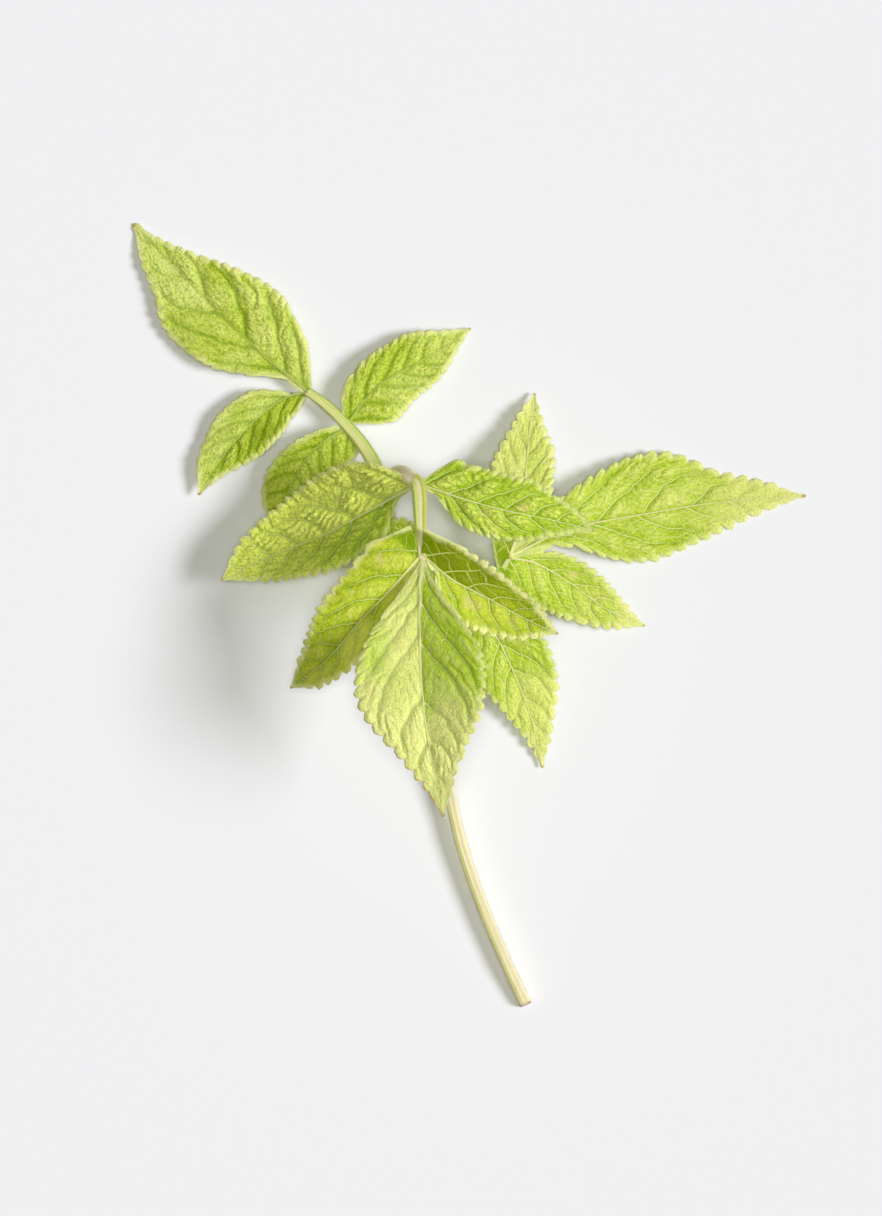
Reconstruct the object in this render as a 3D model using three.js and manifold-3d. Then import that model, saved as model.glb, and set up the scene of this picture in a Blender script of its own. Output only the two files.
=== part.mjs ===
// A cut sprig of sage that lies on a table: a main stem, three compound leaves and their fourteen
// toothed leaflets. Millimetres, +Z up. The table is z = 0, and the origin is on it under the middle
// of the sprig. The stem's cut end points to -Y.
import * as THREE from "three";
import { mergeVertices } from "three/addons/utils/BufferGeometryUtils.js";
import Module from "manifold-3d";

const wasm = await Module();
wasm.setup();

// ---- driving dimensions, in millimetres ----
const bladeThickness = 0.7; // about twice a real blade's, for a sound solid
const jointGap = 0.3; // the clearance where a leaflet or a stalk meets what it grows from
const pressed = 0.28; // an underside that comes this near the table lies flat on it
const toothDepth = 1.15; // how far a tooth stands out on the broadest leaflets
const toothLean = 0.16; // how far a side vein runs forward to the edge, as a share of the midrib
const stemSides = 12;
const stemStep = 3.2; // the length of one ring of a stem's skin
const channelReach = 0.7; // radians to each side of the top that a stalk's channel spans

// Across half a blade, the places of the rows of vertices between the midrib and the edge.
const acrossHalf = [0.42, 0.78];
// Along one tooth: how far along it each point of its outline is, and how far it stands out there.
const toothOutline = [
  [0, 0],
  [0.42, 0.82],
  [0.8, 1],
];

// Each stem runs through its points, which are [x, y, z]. Its half-widths are given at its two ends.
// flat is its height as a share of its width, and groove is the depth of the channel on its top.
const stems = {
  main_stem: {
    path: [
      [12.8, -85.7, 1.3], [9.1, -77.8, 2.5], [4.2, -66.4, 2.8], [-0.2, -54.3, 3.1],
      [-2.6, -45.5, 3.4], [-4.8, -35.2, 3.7], [-7.5, -19.9, 4.2], [-9.3, -7.8, 4.4],
      [-12.6, 5.8, 4.9], [-16.1, 17.9, 5.4], [-18.4, 26.6, 6],
    ],
    radii: [1.38, 1.28],
    flat: 1,
    groove: 0.1,
    squareness: 0.07,
    cutSlant: 0.35,
  },
  left_leaf_stalk: {
    path: [
      [-18.9, 27.3, 6], [-20.3, 32.4, 6], [-23, 37.2, 5.4], [-26.2, 41.2, 4.8],
      [-30.8, 45.8, 4.2], [-35.2, 49, 3.7],
    ],
    radii: [1.7, 1],
    flat: 0.8,
    groove: 0.3,
    squareness: 0,
    cutSlant: 0,
  },
  front_leaf_stalk: {
    path: [
      [-18.4, 26.9, 7.6], [-17.7, 28.4, 11], [-16.9, 29.8, 15.5], [-16, 30.4, 20],
      [-15, 30.7, 24], [-13.7, 30.5, 27], [-12, 29.3, 29], [-10.8, 27.8, 30],
      [-10.4, 23.5, 30.6], [-10.2, 17.1, 31], [-9.9, 12.3, 31.2],
    ],
    radii: [1.5, 1.65],
    flat: 0.8,
    groove: 0.35,
    squareness: 0,
    cutSlant: 0,
  },
  right_leaf_stalk: {
    path: [
      [-9.3, -7.3, 4.4], [-7.4, -4.3, 5.2], [-3.9, 0.1, 5.8], [0.6, 3, 6],
      [6, 7.6, 6.2], [9.3, 12.8, 7.9],
    ],
    radii: [1.25, 0.95],
    flat: 0.85,
    groove: 0.25,
    squareness: 0,
    cutSlant: 0,
  },
};

// Each leaflet has a midrib through five points from base to tip. left and right are its half-widths
// at nine even places along it, seen from the base. teeth is the count on each side. rise is the slope
// of each half beside the midrib, bend is how far its edge then lifts (or, below 0, drops), and heel
// is how far the blade's corner reaches back past its base, each as [left, right].
const leaflets = {
  front_leaf_end: {
    rib: [
      [-9.9, 11.3, 31.4], [-10.3, -0.1, 34.9], [-10, -13.6, 38.4], [-8.4, -27.9, 41.6], [-5.3, -43.1, 44.2],
    ],
    left: [0.5, 3.6, 7.9, 12.2, 13.3, 12.1, 8.3, 3.8, 0],
    right: [0.5, 3.8, 8.1, 12.2, 14.2, 12.6, 7.3, 2.8, 0],
    teeth: 19, rise: [0.58, 0.05], bend: [-1.4, -1.6], heel: [0, 0],
  },
  front_leaf_side_left: {
    rib: [
      [-10.5, 12.5, 31], [-16.4, 5.8, 30.6], [-23.9, -2.1, 29.5], [-30.6, -9.8, 24.5], [-38.6, -16, 14.5],
    ],
    left: [0.3, 1.2, 4.2, 6, 6, 5.3, 4.5, 3.2, 0],
    right: [7.6, 9.6, 9.6, 9.2, 8.9, 7.9, 6.2, 3.6, 0],
    teeth: 16, rise: [0.02, 0.3], bend: [-0.6, -1.6], heel: [0, 3.2],
  },
  front_leaf_side_right: {
    rib: [[-9.3, 12.4, 31.2], [-3.4, 7.6, 29.5], [4.6, 3.4, 28.5], [12.2, -0.8, 28.5], [19.4, -4.1, 29.5]],
    left: [5.6, 6.6, 6.8, 6.5, 5.6, 4.8, 4.1, 2.3, 0],
    right: [0.3, 1.4, 4.6, 7, 7.2, 6.3, 4.7, 2.5, 0],
    teeth: 14, rise: [0.42, 0.1], bend: [-0.3, 0.3], heel: [3.4, 0],
  },
  front_leaf_pair_left: {
    rib: [[-11.4, 28, 29], [-20.9, 22.8, 21.5], [-31.2, 17.4, 14.5], [-42.1, 13.1, 11.2], [-53.8, 7.5, 10.4]],
    left: [0.3, 1.3, 6.2, 7, 7.8, 7, 5.8, 3.1, 0],
    right: [1.4, 8.2, 11.4, 12.1, 11.5, 9.9, 7.9, 5, 0],
    teeth: 18, rise: [0.12, 0.2], bend: [-1, -1.8], heel: [0, 0],
  },
  front_leaf_pair_right: {
    rib: [[-10.2, 28.1, 29.4], [-1.5, 25.1, 30.5], [7.5, 22.6, 31], [17.5, 20.5, 30], [27.2, 18.2, 28]],
    left: [0.9, 6.9, 7.4, 7.6, 7.4, 7.3, 5.1, 3.2, 0],
    right: [0.3, 1.6, 5, 6.2, 6.4, 5.7, 3.8, 1.8, 0],
    teeth: 16, rise: [0.2, 0.2], bend: [-1.2, -1.2], heel: [0, 0],
  },
  left_leaf_end: {
    rib: [[-35.4, 49.2, 3.6], [-44.6, 56.6, 3.4], [-54.1, 65.6, 2.9], [-63.8, 75.6, 2], [-73.5, 85.9, 0.4]],
    left: [0.3, 1.2, 5.4, 9.4, 11.1, 10.8, 7.2, 4.2, 0],
    right: [1.8, 8, 10.6, 12.4, 11.4, 8.7, 5.2, 2.2, 0],
    teeth: 19, rise: [0.16, 0.22], bend: [-1.3, -2], heel: [0, 0],
  },
  left_leaf_side: {
    rib: [[-36, 48.7, 3.1], [-41.3, 46.9, 2.9], [-47.1, 42.1, 3.4], [-53, 35.6, 3.3], [-59.1, 26.3, 2.4]],
    left: [1.2, 4, 4.8, 6, 6.4, 6.2, 4.6, 2, 0],
    right: [0.2, 0.5, 2.8, 5.6, 6.5, 6.7, 5.6, 3.8, 0],
    teeth: 14, rise: [0.25, 0.15], bend: [-0.9, -1.2], heel: [0, 0],
  },
  left_leaf_pair_upper: {
    rib: [[-26, 42.4, 4.8], [-20.9, 49.1, 4.8], [-14.4, 53.5, 4], [-6.9, 57.6, 2.6], [0.7, 62.9, 1.1]],
    left: [1.8, 4.9, 5.9, 6.6, 6.7, 6.7, 5.4, 2.6, 0],
    right: [0.8, 7, 8.4, 7.8, 6.6, 6, 4.3, 1.9, 0],
    teeth: 14, rise: [0.2, 0.2], bend: [-1, -1.3], heel: [0, 0],
  },
  left_leaf_pair_lower: {
    rib: [[-26.6, 40.9, 4.5], [-31.2, 38.3, 4.8], [-35.6, 33.9, 4.8], [-38.9, 27.9, 4.2], [-42.9, 19, 2.8]],
    left: [6, 7.2, 7.4, 7.4, 7.1, 6.2, 4.8, 2.7, 0],
    right: [0.6, 1.7, 2.6, 3.7, 4.9, 5.8, 6, 4.6, 0],
    teeth: 12, rise: [0.1, 0.2], bend: [-1, -1.4], heel: [2, 0],
  },
  right_leaf_end: {
    rib: [[10.6, 13.4, 8.6], [22, 18.7, 5.6], [37.9, 21.9, 2.2], [55.9, 24.8, 0.35], [74.4, 26.1, 0.35]],
    left: [1.2, 2.5, 6.7, 10.1, 12.8, 11.8, 6.3, 3.5, 0],
    right: [1, 1.9, 4, 8.2, 10.2, 8.5, 5.9, 2.6, 0],
    teeth: 20, rise: [0.1, 0.06], bend: [0.5, 0.4], heel: [0, 0],
  },
  right_leaf_side_lower: {
    rib: [[9.8, 12.4, 6.8], [15.2, 11.1, 5.7], [22.7, 6.8, 4.6], [30.4, 1.2, 3], [39, -2.5, 1.3]],
    left: [0.6, 2, 3.2, 4.5, 5.2, 4.9, 4.1, 2, 0],
    right: [5.6, 7.4, 8, 8.2, 7.8, 6.4, 4.2, 2.2, 0],
    teeth: 14, rise: [0.2, 0.16], bend: [-0.5, -1.4], heel: [0, 4.5],
  },
  right_leaf_side_upper: {
    rib: [[9.5, 13.5, 9.4], [11.7, 20.9, 10.2], [12.6, 30.1, 8], [13.5, 39.6, 4.2], [14.7, 48.6, 1.5]],
    left: [4.2, 6.3, 7.3, 8, 7.8, 6.5, 4.3, 2.4, 0],
    right: [0.3, 1.6, 4.8, 5.8, 6, 5.9, 4.1, 1.8, 0],
    teeth: 14, rise: [0.18, 0.2], bend: [-0.8, -1], heel: [4.4, 0],
  },
  right_leaf_pair_lower: {
    rib: [[0.1, 3.4, 6.8], [5.6, -3.8, 5.9], [9.7, -11.7, 4.4], [13.9, -22.5, 2.6], [16.5, -33.7, 1.2]],
    left: [0.8, 4.2, 7.2, 8.6, 9, 8.1, 5.3, 2.5, 0],
    right: [0.6, 3.8, 6.6, 8, 7.8, 6.3, 4, 1.6, 0],
    teeth: 16, rise: [0.2, 0.16], bend: [-1.2, -1], heel: [0, 0],
  },
  right_leaf_pair_upper: {
    rib: [[-0.8, 3.8, 6.9], [-5.8, 8.7, 7.9], [-11.5, 12.8, 8.4], [-16.6, 16.3, 8.6], [-21.8, 19.8, 8.4]],
    left: [0.6, 3.2, 5.2, 6, 6.2, 5.6, 4.4, 2.4, 0],
    right: [0.4, 1.5, 2.4, 3.2, 4.2, 5.4, 5.4, 3, 0],
    teeth: 12, rise: [0.15, 0.15], bend: [-0.8, -0.8], heel: [0, 0],
  },
};

// ---- curves ----

// A smooth value, or point, that passes through a list of them at even places; t runs from 0 to 1.
// Past either end it goes on in a straight line.
function through(list, t) {
  const spans = list.length - 1;
  const i = Math.min(Math.max(Math.floor(t * spans), 0), spans - 1);
  const f = t * spans - i;
  const mix = (k) => {
    const at = (j) => (k === null ? list[j] : list[j][k]);
    const here = at(i);
    const next = at(i + 1);
    const before = i > 0 ? at(i - 1) : 2 * here - next;
    const after = i + 2 <= spans ? at(i + 2) : 2 * next - here;
    const leave = (next - before) / 2;
    const arrive = (after - here) / 2;
    if (f < 0) return here + leave * f;
    if (f > 1) return next + arrive * (f - 1);
    const turn = 3 * (next - here) - 2 * leave - arrive;
    const close = 2 * (here - next) + leave + arrive;
    return here + leave * f + turn * f * f + close * f * f * f;
  };
  return Array.isArray(list[0]) ? new THREE.Vector3(mix(0), mix(1), mix(2)) : mix(null);
}

// The direction of a curve through points.
function heading(list, t) {
  const step = 0.002;
  return through(list, t + step).sub(through(list, t - step)).normalize();
}

function ribLength(rib) {
  let length = 0;
  for (let i = 0; i < 40; i += 1) length += through(rib, i / 40).distanceTo(through(rib, (i + 1) / 40));
  return length;
}

const smooth = THREE.MathUtils.smoothstep;

// ---- a leaflet's blade ----

// The blade's middle surface at place u along the midrib and x millimetres to its left.
function bladePoint(leaf, u, x) {
  const point = through(leaf.rib, u);
  const ahead = heading(leaf.rib, u);
  const left = new THREE.Vector3(-ahead.y, ahead.x, 0).normalize();
  const side = x > 0 ? 0 : 1;
  const widest = Math.max(...(side ? leaf.right : leaf.left));
  const out = Math.abs(x);
  point.addScaledVector(left, x);
  point.z += leaf.rise[side] * out + (leaf.bend[side] * out * out) / (widest * widest);
  return point;
}

function bladeNormal(leaf, u, x) {
  const along = bladePoint(leaf, u + 0.004, x).sub(bladePoint(leaf, u - 0.004, x));
  const across = bladePoint(leaf, u, x + 0.05).sub(bladePoint(leaf, u, x - 0.05));
  return along.cross(across).normalize();
}

// How far along the midrib a row has moved by the time that it reaches place v across the half:
// back towards the heel at the base, and forward with the side veins further out.
function leanOf(leaf, t, v, side, length) {
  const forward = toothLean * (1 - t) * smooth(t, 0, 0.2);
  const back = (leaf.heel[side] / length) * (1 - smooth(t, 0, 0.14));
  return (forward - back) * v;
}

// The upper and lower vertex of the blade at one place.
function skinPair(leaf, u, x) {
  const middle = bladePoint(leaf, u, x);
  const normal = bladeNormal(leaf, u, x);
  const upper = middle.clone().addScaledVector(normal, bladeThickness / 2);
  const lower = middle.clone().addScaledVector(normal, -bladeThickness / 2);
  if (lower.z < pressed) lower.z = 0;
  upper.z = Math.max(upper.z, lower.z + bladeThickness);
  return [upper, lower];
}

function leafletGeometry(leaf) {
  const length = ribLength(leaf.rib);
  const broadest = Math.max(...leaf.left, ...leaf.right);
  const depth = toothDepth * Math.min(1, 0.55 + broadest / 26);
  const points = [];
  const add = (u, x) => {
    points.push(skinPair(leaf, u, x));
    return points.length - 1;
  };
  const edgePlace = (t, v, side) => {
    const u = t + leanOf(leaf, t, v, side, length);
    const half = Math.max(through(side ? leaf.right : leaf.left, u), 0.12);
    return [u, half];
  };
  const middle = [];
  for (let i = 0; i <= leaf.teeth; i += 1) middle.push(add(i / leaf.teeth, 0));
  const tip = middle[leaf.teeth];
  const faces = [];
  const rim = [];
  for (const side of [0, 1]) {
    const sign = side ? -1 : 1;
    const rows = [middle];
    for (const v of acrossHalf) {
      const row = [];
      for (let i = 0; i < leaf.teeth; i += 1) {
        const [u, half] = edgePlace(i / leaf.teeth, v, side);
        row.push(add(u, sign * v * half));
      }
      row.push(tip);
      rows.push(row);
    }
    const edge = [];
    for (let i = 0; i < leaf.teeth; i += 1) {
      for (const [along, out] of toothOutline) {
        const [u, half] = edgePlace((i + along) / leaf.teeth, 1, side);
        const fade = smooth(u, 0.02, 0.12) * (1 - smooth(u, 0.84, 0.98));
        edge.push(add(u, sign * (half + depth * fade * (out - 0.55))));
      }
    }
    edge.push(tip);
    const face = (a, b, c) => {
      if (a === b || b === c || a === c) return;
      faces.push(side ? [a, b, c] : [a, c, b]);
    };
    for (let r = 0; r + 1 < rows.length; r += 1) {
      for (let i = 0; i < leaf.teeth; i += 1) {
        face(rows[r][i], rows[r + 1][i], rows[r + 1][i + 1]);
        face(rows[r][i], rows[r + 1][i + 1], rows[r][i + 1]);
      }
    }
    const last = rows[rows.length - 1];
    const per = toothOutline.length;
    for (let i = 0; i < leaf.teeth; i += 1) {
      for (let k = 0; k < per; k += 1) face(last[i], edge[i * per + k], edge[i * per + k + 1]);
      face(last[i], edge[(i + 1) * per], last[i + 1]);
    }
    const base = rows.map((row) => row[0]).concat(edge[0]);
    rim.push([base, side], [edge, side]);
  }
  return closedSkin(points, faces, rim);
}

// The blade's two faces, which share their triangles, and the thin wall round its outline.
function closedSkin(points, faces, rim) {
  const position = new Float32Array(points.length * 6);
  points.forEach(([upper, lower], i) => {
    upper.toArray(position, i * 6);
    lower.toArray(position, i * 6 + 3);
  });
  const index = [];
  for (const [a, b, c] of faces) index.push(2 * a, 2 * b, 2 * c, 2 * a + 1, 2 * c + 1, 2 * b + 1);
  for (const [line, side] of rim) {
    for (let i = 0; i + 1 < line.length; i += 1) {
      const [a, b] = side ? [line[i], line[i + 1]] : [line[i + 1], line[i]];
      index.push(2 * a, 2 * a + 1, 2 * b + 1, 2 * a, 2 * b + 1, 2 * b);
    }
  }
  const geometry = new THREE.BufferGeometry();
  geometry.setAttribute("position", new THREE.BufferAttribute(position, 3));
  geometry.setIndex(index);
  return geometry;
}

// ---- a stem ----

// The ring of a stem's section, as [to the left, up] in shares of its half-width: round, with the
// corners of a mint-family stem and a channel on top.
function stemSection(stem) {
  const ring = [];
  for (let i = 0; i < stemSides; i += 1) {
    const angle = ((i + 0.5) / stemSides) * 2 * Math.PI;
    const corner = 1 - stem.squareness * Math.cos(4 * angle);
    const fromTop = Math.abs(angle - Math.PI / 2);
    const fade = Math.cos((fromTop / channelReach) * (Math.PI / 2));
    const channel = fromTop < channelReach ? stem.groove * fade : 0;
    ring.push([corner * Math.cos(angle), stem.flat * (corner * Math.sin(angle) - channel)]);
  }
  return ring;
}

// grow widens the stem all round and past both ends, for cutting the clearance out of a neighbour.
function stemGeometry(stem, grow) {
  const section = stemSection(stem);
  const rings = Math.round(ribLength(stem.path) / stemStep);
  const position = [];
  for (let r = 0; r <= rings; r += 1) {
    const t = r / rings;
    const ahead = heading(stem.path, t);
    const left = new THREE.Vector3(-ahead.y, ahead.x, 0).normalize();
    const up = ahead.clone().cross(left);
    const centre = through(stem.path, t);
    if (r === 0) centre.addScaledVector(ahead, -grow);
    if (r === rings) centre.addScaledVector(ahead, grow);
    const radius = THREE.MathUtils.lerp(...stem.radii, t);
    for (const [aside, above] of section) {
      const scale = radius + grow / Math.hypot(aside, above);
      const point = centre.clone().addScaledVector(left, aside * scale).addScaledVector(up, above * scale);
      if (r === 0) point.addScaledVector(ahead, stem.cutSlant * above);
      position.push(point.x, point.y, Math.max(point.z, 0));
    }
  }
  const index = [];
  const at = (r, i) => r * stemSides + (i % stemSides);
  for (let r = 0; r < rings; r += 1) {
    for (let i = 0; i < stemSides; i += 1) {
      index.push(at(r, i), at(r, i + 1), at(r + 1, i + 1), at(r, i), at(r + 1, i + 1), at(r + 1, i));
    }
  }
  for (let i = 1; i + 1 < stemSides; i += 1) {
    index.push(at(0, 0), at(0, i + 1), at(0, i), at(rings, 0), at(rings, i), at(rings, i + 1));
  }
  const geometry = new THREE.BufferGeometry();
  geometry.setAttribute("position", new THREE.Float32BufferAttribute(position, 3));
  geometry.setIndex(index);
  return geometry;
}

// ---- solids ----

function solidOf(geometry) {
  const merged = mergeVertices(geometry, 1e-4);
  const mesh = new wasm.Mesh({
    numProp: 3,
    vertProperties: new Float32Array(merged.attributes.position.array),
    triVerts: new Uint32Array(merged.index.array),
  });
  return new wasm.Manifold(mesh);
}

// What is left of a solid once others are taken from it, without the scraps that the cut sets loose.
function cutBy(solid, others) {
  const left = others.reduce((rest, other) => rest.subtract(other), solid);
  return left.decompose().reduce((most, body) => (body.volume() > most.volume() ? body : most));
}

function geometryOf(solid) {
  const mesh = solid.getMesh();
  const geometry = new THREE.BufferGeometry();
  geometry.setAttribute("position", new THREE.BufferAttribute(mesh.vertProperties, 3));
  geometry.setIndex(new THREE.BufferAttribute(mesh.triVerts, 1));
  return geometry;
}

// ---- the sprig ----

const stalkLook = { color: 0xd2cf8e, roughness: 0.75, metalness: 0 };
const leafLook = { color: 0xa4c639, roughness: 0.7, metalness: 0 };

const sprig = new THREE.Group();

function place(name, solid, look) {
  const mesh = new THREE.Mesh(geometryOf(solid), new THREE.MeshStandardMaterial(look));
  mesh.name = name;
  sprig.add(mesh);
}

// Each stem is cut clear of those before it, and each leaflet of every stem.
const cleared = [];
for (const [name, stem] of Object.entries(stems)) {
  place(name, cutBy(solidOf(stemGeometry(stem, 0)), cleared), stalkLook);
  cleared.push(solidOf(stemGeometry(stem, jointGap)));
}
for (const [name, leaf] of Object.entries(leaflets)) {
  place(name, cutBy(solidOf(leafletGeometry(leaf)), cleared), leafLook);
}

export default sprig;
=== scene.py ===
# A cut sage sprig on a pale table, seen from straight above: its finished leaves, stems and hairs.
# Lengths are in millimetres until a mesh is made.
import math

import bpy
import numpy as np
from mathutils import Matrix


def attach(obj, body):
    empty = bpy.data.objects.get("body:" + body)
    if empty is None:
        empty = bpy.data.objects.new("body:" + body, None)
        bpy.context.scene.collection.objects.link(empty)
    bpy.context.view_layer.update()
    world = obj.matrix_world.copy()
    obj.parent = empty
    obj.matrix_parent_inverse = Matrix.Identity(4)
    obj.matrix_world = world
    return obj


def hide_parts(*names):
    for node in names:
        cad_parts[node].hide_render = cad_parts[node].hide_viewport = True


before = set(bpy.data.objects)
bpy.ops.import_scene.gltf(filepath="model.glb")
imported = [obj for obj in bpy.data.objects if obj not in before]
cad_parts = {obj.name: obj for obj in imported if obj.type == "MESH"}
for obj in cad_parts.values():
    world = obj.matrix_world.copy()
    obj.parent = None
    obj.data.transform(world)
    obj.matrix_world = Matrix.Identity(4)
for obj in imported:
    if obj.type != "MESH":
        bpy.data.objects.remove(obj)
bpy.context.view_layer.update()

mm = 0.001


# A smooth value or point through a list of them at even places, running on straight past its ends.
def through(points, t):
    points = np.asarray(points, float)
    t = np.asarray(t, float)
    spans = len(points) - 1
    i = np.clip(np.floor(t * spans).astype(int), 0, spans - 1)
    f = t * spans - i
    if points.ndim > 1:
        f = f[..., None]
    padded = np.concatenate([2 * points[:1] - points[1:2], points, 2 * points[-1:] - points[-2:-1]])
    before, here, after, beyond = (padded[i + k] for k in range(4))
    leave = (after - before) / 2
    arrive = (beyond - here) / 2
    turn = 3 * (after - here) - 2 * leave - arrive
    close = 2 * (here - after) + leave + arrive
    inside = here + leave * f + turn * f * f + close * f * f * f
    return np.where(f < 0, here + leave * f, np.where(f > 1, after + arrive * (f - 1), inside))


def unit(vectors):
    return vectors / np.maximum(np.linalg.norm(vectors, axis=-1, keepdims=True), 1e-12)


def heading(points, t):
    return unit(through(points, t + 0.002) - through(points, t - 0.002))


def pathLength(points):
    line = through(points, np.linspace(0, 1, 41))
    return float(np.linalg.norm(np.diff(line, axis=0), axis=1).sum())


def smooth(x, low, high):
    f = np.clip((np.asarray(x, float) - low) / (high - low), 0, 1)
    return f * f * (3 - 2 * f)


# A pillow's profile: 0 at its seam and 1 from its shoulder on.
def pillow(distance, shoulder, roundness=2):
    return 1 - (1 - np.clip(distance / shoulder, 0, 1)) ** roundness


def toNearest(phase):
    return np.abs(phase - np.round(phase))


# A repeatable number from 0 to 1 for each whole-number cell.
def cellNumber(column, row, seed):
    mixed = column.astype(np.int64) * 73856093 ^ row.astype(np.int64) * 19349663 ^ (seed * 83492791)
    mixed = (mixed ^ (mixed >> 13)) * 1274126177 & 0x7FFFFFFF
    mixed = (mixed ^ (mixed >> 15)) * 668265263 & 0x7FFFFFFF
    return (mixed ^ (mixed >> 12)) % 100003 / 100003.0


# Smooth noise from -1 to 1 with one swell for each unit of its coordinates.
def swell(a, b, seed):
    i, j = np.floor(a).astype(int), np.floor(b).astype(int)
    f, g = smooth(a - i, 0, 1), smooth(b - j, 0, 1)
    corner = [cellNumber(i + di, j + dj, seed) for dj in (0, 1) for di in (0, 1)]
    low = corner[0] * (1 - f) + corner[1] * f
    high = corner[2] * (1 - f) + corner[3] * f
    return 2 * (low * (1 - g) + high * g) - 1


# A net of cells, as between the finest veins: how far each place is from a wall, in cells.
def netOf(a, b, seed):
    i, j = np.floor(a).astype(int), np.floor(b).astype(int)
    first = np.full(a.shape, 9.0)
    second = np.full(a.shape, 9.0)
    for di in (-1, 0, 1):
        for dj in (-1, 0, 1):
            x = i + di + 0.5 + 0.9 * (cellNumber(i + di, j + dj, seed) - 0.5)
            y = j + dj + 0.5 + 0.9 * (cellNumber(i + di, j + dj, seed + 7) - 0.5)
            far = np.hypot(a - x, b - y)
            second = np.where(far < first, first, np.minimum(second, far))
            first = np.minimum(first, far)
    return (second - first) / 2


pieceTriangles = {}


def addObject(name, data):
    thing = bpy.data.objects.new(name, data)
    bpy.context.scene.collection.objects.link(thing)
    return thing


# A mesh from points in millimetres and its faces, with named values for the materials to read.
def makePiece(name, points, faces, values, material, node=None):
    mesh = bpy.data.meshes.new(name)
    faces = np.asarray(faces, np.int32)
    mesh.vertices.add(len(points))
    mesh.vertices.foreach_set("co", (np.asarray(points) * mm).astype(np.float32).ravel())
    mesh.loops.add(faces.size)
    mesh.loops.foreach_set("vertex_index", faces.ravel())
    mesh.polygons.add(len(faces))
    starts = np.arange(0, faces.size, faces.shape[1], dtype=np.int32)
    mesh.polygons.foreach_set("loop_start", starts)
    mesh.polygons.foreach_set("use_smooth", np.ones(len(faces), bool))
    mesh.update(calc_edges=True)
    for key, value in values.items():
        value = np.asarray(value, np.float32)
        kind, field = ("FLOAT", "value") if value.ndim == 1 else ("FLOAT_VECTOR", "vector")
        mesh.attributes.new(key, kind, "POINT").data.foreach_set(field, value.ravel())
    mesh.materials.append(material)
    piece = addObject(name, mesh)
    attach(piece, "root")
    if node:
        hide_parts(node)
    pieceTriangles[name] = len(faces) * (faces.shape[1] - 2)


def linearColour(code):
    parts = [int(code[k : k + 2], 16) / 255 for k in (1, 3, 5)]
    linear = [p / 12.92 if p <= 0.04045 else ((p + 0.055) / 1.055) ** 2.4 for p in parts]
    return (*linear, 1.0)


# Adds a node with its own settings. Each link sets the input of that name or number, of those that
# are switched on, to a value, a colour code, a socket or a node's first output.
def addNode(tree, kind, links=None, **settings):
    node = tree.nodes.new("ShaderNode" + kind)
    for key, value in settings.items():
        setattr(node, key, value)
    inputs = [socket for socket in node.inputs if socket.enabled]
    for key, value in (links or {}).items():
        socket = inputs[key] if isinstance(key, int) else next(s for s in inputs if s.name == key)
        if isinstance(value, bpy.types.Node):
            value = next(output for output in value.outputs if output.enabled)
        if isinstance(value, bpy.types.NodeSocket):
            tree.links.new(value, socket)
        else:
            socket.default_value = linearColour(value) if isinstance(value, str) else value
    return node


def newMaterial(name):
    material = bpy.data.materials.new(name)
    material.use_nodes = True
    material.node_tree.nodes.clear()
    return material, material.node_tree


# The values that makePiece put on the points, each as its three numbers.
def readValues(tree, keys):
    vectors = [addNode(tree, "Attribute", attribute_name=key).outputs["Vector"] for key in keys]
    return [addNode(tree, "SeparateXYZ", {0: vector}).outputs for vector in vectors]


# Paints layers over a colour. Each is what it goes by, where it starts, where it is full, how
# strong it is there, and its own colour.
def paintLayers(tree, colour, layers):
    for value, start, full, strength, code in layers:
        reach = {"Value": value, "From Min": start, "From Max": full, "To Max": strength}
        mask = addNode(tree, "MapRange", reach, interpolation_type="SMOOTHSTEP")
        colour = addNode(tree, "Mix", {"Factor": mask, "A": colour, "B": code}, data_type="RGBA")
    return colour


leafFinish = dict(
    paintedShadeOlive="#7E8E00",  # painted shade, where a half is painted darkest
    margin="#EEEEA6",
    vein="#E2E891",
    rib="#E3E0A2",
    nap="#D8E466",  # pale hairs and glands, seen as specks
    blotch="#E2CE92",
    scorch="#B5803F",  # tips and tooth ends
    underside="#C6D27C",
    cellSize=0.5,  # mm, the pebbling of single cells; real ones are 0.05 mm, too fine to show
    napSize=0.42,  # mm between the specks of the nap; real hairs stand about 0.15 mm apart
    cloudSize=2.6,  # mm across one soft change of tone
)
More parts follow.
